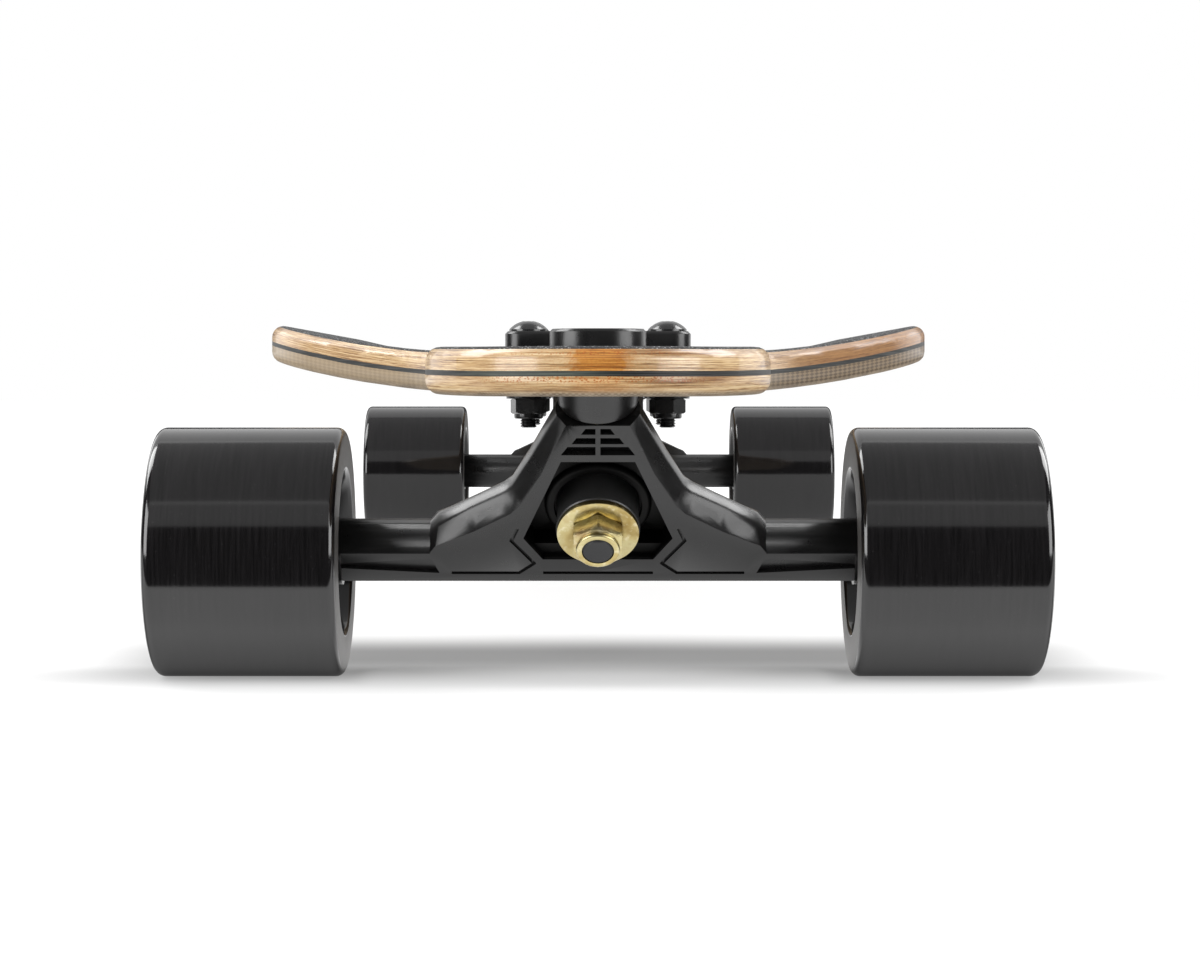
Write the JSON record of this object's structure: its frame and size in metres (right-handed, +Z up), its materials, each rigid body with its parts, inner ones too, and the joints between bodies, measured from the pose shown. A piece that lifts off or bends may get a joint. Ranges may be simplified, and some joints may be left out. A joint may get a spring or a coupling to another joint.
{
  "type": "longboard skateboard",
  "caption": "Drop-through longboard: a cut-away laminated deck with grip, sprung steering trucks hung through slots in its ends, and wide free-rolling wheels.",
  "frame": {"origin": "on the ground, midway along and across the board, between the wheels", "axes": "+X across the board to its left side, +Y along it towards the tail, +Z up; the nose is at -Y"},
  "size_m": [0.2652, 0.956, 0.1102],
  "materials": {
    "lower_veneers": "clear-coated maple veneer",
    "dark_ply": "dyed veneer, clear coated at the edge",
    "upper_veneers": "clear-coated maple veneer",
    "grip": "coarse grit on a plastic film",
    "black_casting": "satin black powder coat on cast aluminium",
    "cup_urethane": "black urethane",
    "black_steel": "black oxide steel",
    "yellow_zinc": "yellow zinc-plated steel",
    "bushing_urethane": "dark urethane",
    "bolt_black": "gloss black plating",
    "axle_steel": "bright steel",
    "axle_nut_steel": "zinc-plated steel",
    "bearing_steel": "ground steel",
    "bearing_shield": "rubber-faced shield",
    "wheel_urethane": "cast black urethane",
    "wheel_core": "moulded black nylon"
  },
  "bodies": {
    "deck": {"deck_lower_laminate": "lower_veneers", "deck_dark_ply": "dark_ply", "deck_upper_laminate": "upper_veneers", "grip_tape": "grip", "front_baseplate": "black_casting", "front_pivot_cup": "cup_urethane", "front_kingpin": "black_steel", "front_kingpin_nut": "yellow_zinc", "front_roadside_washer": "yellow_zinc", "front_boardside_washer": "yellow_zinc", "front_roadside_bushing": "bushing_urethane", "front_boardside_bushing": "bushing_urethane", "front_mounting_bolts": "bolt_black", "front_mounting_washers": "bolt_black", "front_mounting_nuts": "bolt_black", "rear_baseplate": "black_casting", "rear_pivot_cup": "cup_urethane", "rear_kingpin": "black_steel", "rear_kingpin_nut": "yellow_zinc", "rear_roadside_washer": "yellow_zinc", "rear_boardside_washer": "yellow_zinc", "rear_roadside_bushing": "bushing_urethane", "rear_boardside_bushing": "bushing_urethane", "rear_mounting_bolts": "bolt_black", "rear_mounting_washers": "bolt_black", "rear_mounting_nuts": "bolt_black"},
    "front_hanger": {"front_hanger": "black_casting", "front_axle": "axle_steel", "front_axle_nuts": "axle_nut_steel", "front_speed_washers": "bearing_steel", "front_bearing_spacers": "bearing_steel", "front_bearing_inner_races": "bearing_steel"},
    "front_left_wheel": {"front_left_tyre": "wheel_urethane", "front_left_core": "wheel_core", "front_left_bearing_outer_races": "bearing_steel", "front_left_bearing_shields": "bearing_shield", "front_left_bearing_balls": "bearing_steel"},
    "front_right_wheel": {"front_right_tyre": "wheel_urethane", "front_right_core": "wheel_core", "front_right_bearing_outer_races": "bearing_steel", "front_right_bearing_shields": "bearing_shield", "front_right_bearing_balls": "bearing_steel"},
    "rear_hanger": {"rear_hanger": "black_casting", "rear_axle": "axle_steel", "rear_axle_nuts": "axle_nut_steel", "rear_speed_washers": "bearing_steel", "rear_bearing_spacers": "bearing_steel", "rear_bearing_inner_races": "bearing_steel"},
    "rear_left_wheel": {"rear_left_tyre": "wheel_urethane", "rear_left_core": "wheel_core", "rear_left_bearing_outer_races": "bearing_steel", "rear_left_bearing_shields": "bearing_shield", "rear_left_bearing_balls": "bearing_steel"},
    "rear_right_wheel": {"rear_right_tyre": "wheel_urethane", "rear_right_core": "wheel_core", "rear_right_bearing_outer_races": "bearing_steel", "rear_right_bearing_shields": "bearing_shield", "rear_right_bearing_balls": "bearing_steel"}
  },
  "joints": [
    {"name": "front_steer", "type": "hinge", "parent": "deck", "child": "front_hanger", "pos_m": [0, -0.37732, 0.03975], "axis": [0, -0.6428, 0.766], "range_deg": [-15, 15], "stiffness_Nm_per_rad": 25, "deforming": ["front_roadside_bushing", "front_boardside_bushing"]},
    {"name": "front_left_spin", "type": "hinge", "parent": "front_hanger", "child": "front_left_wheel", "pos_m": [0.1044, -0.38, 0.0375], "axis": [1, 0, 0], "continuous": true},
    {"name": "front_right_spin", "type": "hinge", "parent": "front_hanger", "child": "front_right_wheel", "pos_m": [-0.1044, -0.38, 0.0375], "axis": [1, 0, 0], "continuous": true},
    {"name": "rear_steer", "type": "hinge", "parent": "deck", "child": "rear_hanger", "pos_m": [0, 0.37732, 0.03975], "axis": [0, 0.6428, 0.766], "range_deg": [-15, 15], "stiffness_Nm_per_rad": 25, "deforming": ["rear_roadside_bushing", "rear_boardside_bushing"]},
    {"name": "rear_left_spin", "type": "hinge", "parent": "rear_hanger", "child": "rear_left_wheel", "pos_m": [0.1044, 0.38, 0.0375], "axis": [1, 0, 0], "continuous": true},
    {"name": "rear_right_spin", "type": "hinge", "parent": "rear_hanger", "child": "rear_right_wheel", "pos_m": [-0.1044, 0.38, 0.0375], "axis": [1, 0, 0], "continuous": true}
  ]
}
